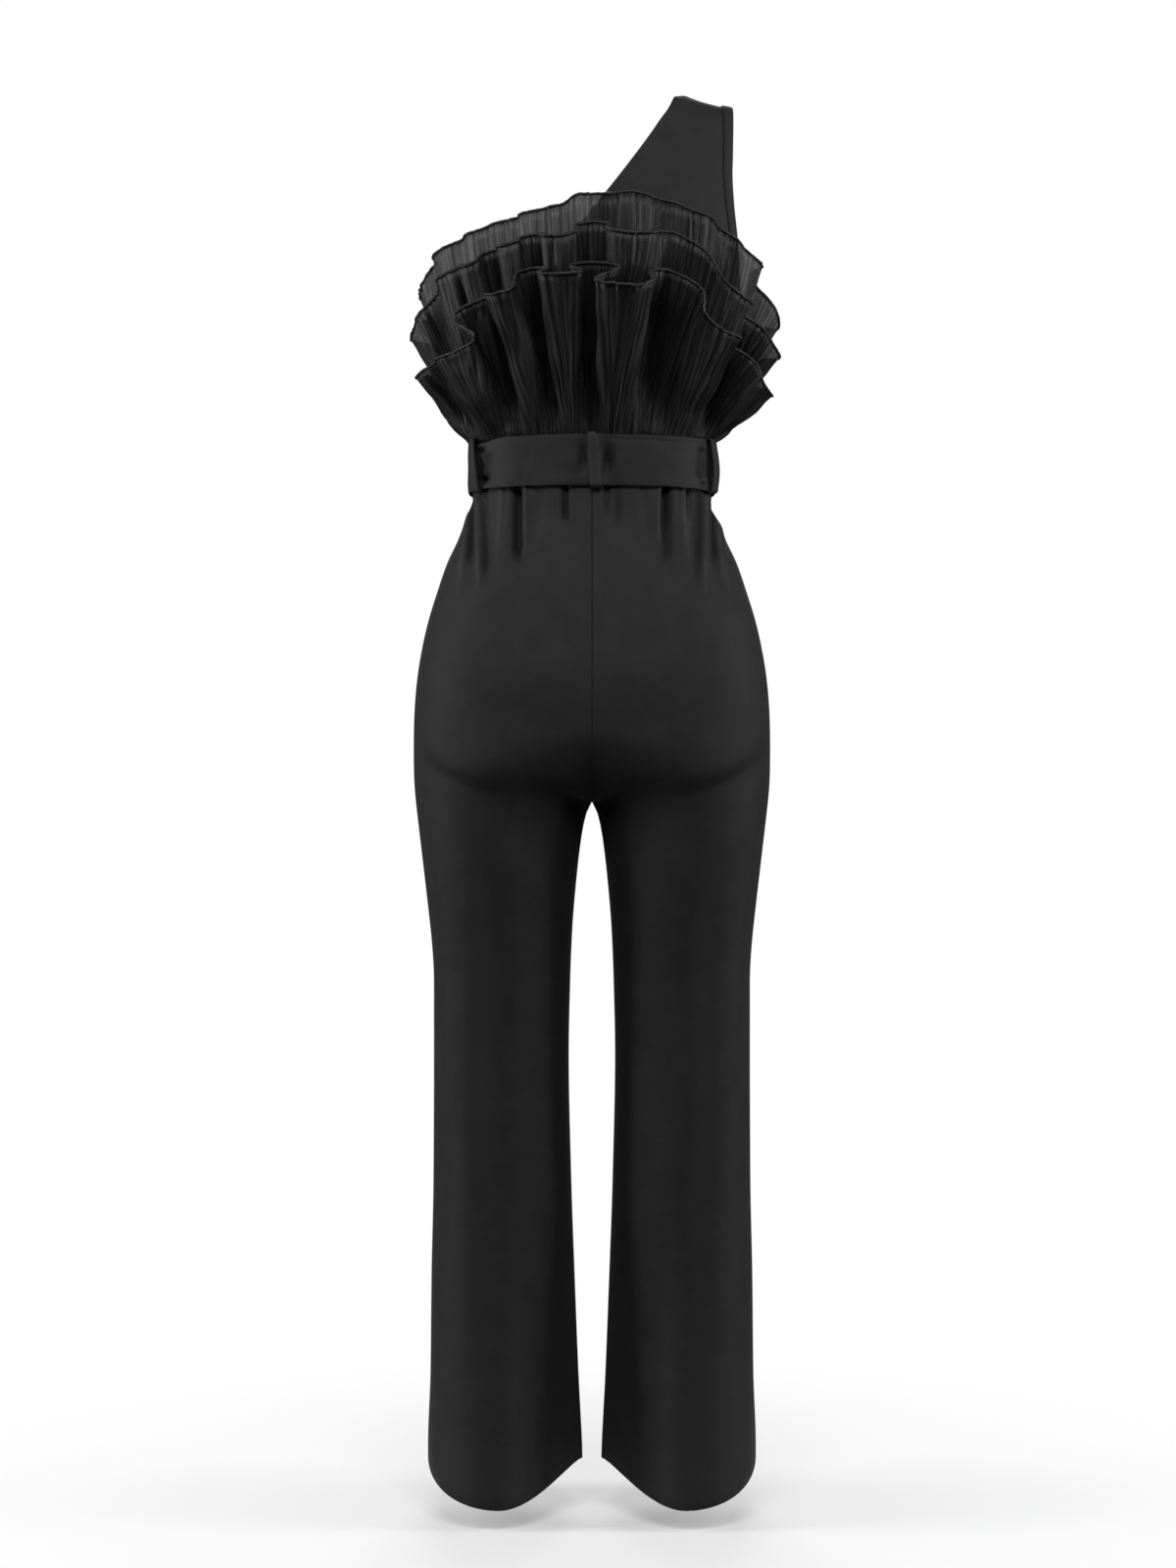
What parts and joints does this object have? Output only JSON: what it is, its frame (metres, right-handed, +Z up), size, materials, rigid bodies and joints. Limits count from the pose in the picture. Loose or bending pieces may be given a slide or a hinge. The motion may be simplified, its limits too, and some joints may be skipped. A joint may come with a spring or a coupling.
{
  "type": "one-shoulder jumpsuit",
  "caption": "One-shoulder wide-leg jumpsuit with tiers of sheer ruffles standing up from the waist all round, and a belt in loops.",
  "frame": {"origin": "the underside of the shoulder strap at the shoulder seam, where the wearer's right shoulder holds it up", "axes": "+Z up along the garment's length, -Y towards the wearer's front, +X towards the wearer's left"},
  "size_m": [0.3733, 0.412, 1.4221],
  "materials": {
    "black_crepe": "smooth stretch crepe with a soft low sheen",
    "black_organza": "sheer crinkle-pleated organza with a corded edge"
  },
  "bodies": {
    "root": {"bodice_back": "black_crepe", "bodice_front": "black_crepe", "armhole_binding": "black_crepe", "ruffle_inner": "black_organza", "ruffle_middle": "black_organza", "ruffle_outer": "black_organza", "belt": "black_crepe", "belt_loop_back": "black_crepe", "belt_loop_left": "black_crepe", "belt_loop_right": "black_crepe", "trouser_back_left": "black_crepe", "trouser_back_right": "black_crepe", "trouser_front_left": "black_crepe", "trouser_front_right": "black_crepe"}
  },
  "joints": []
}
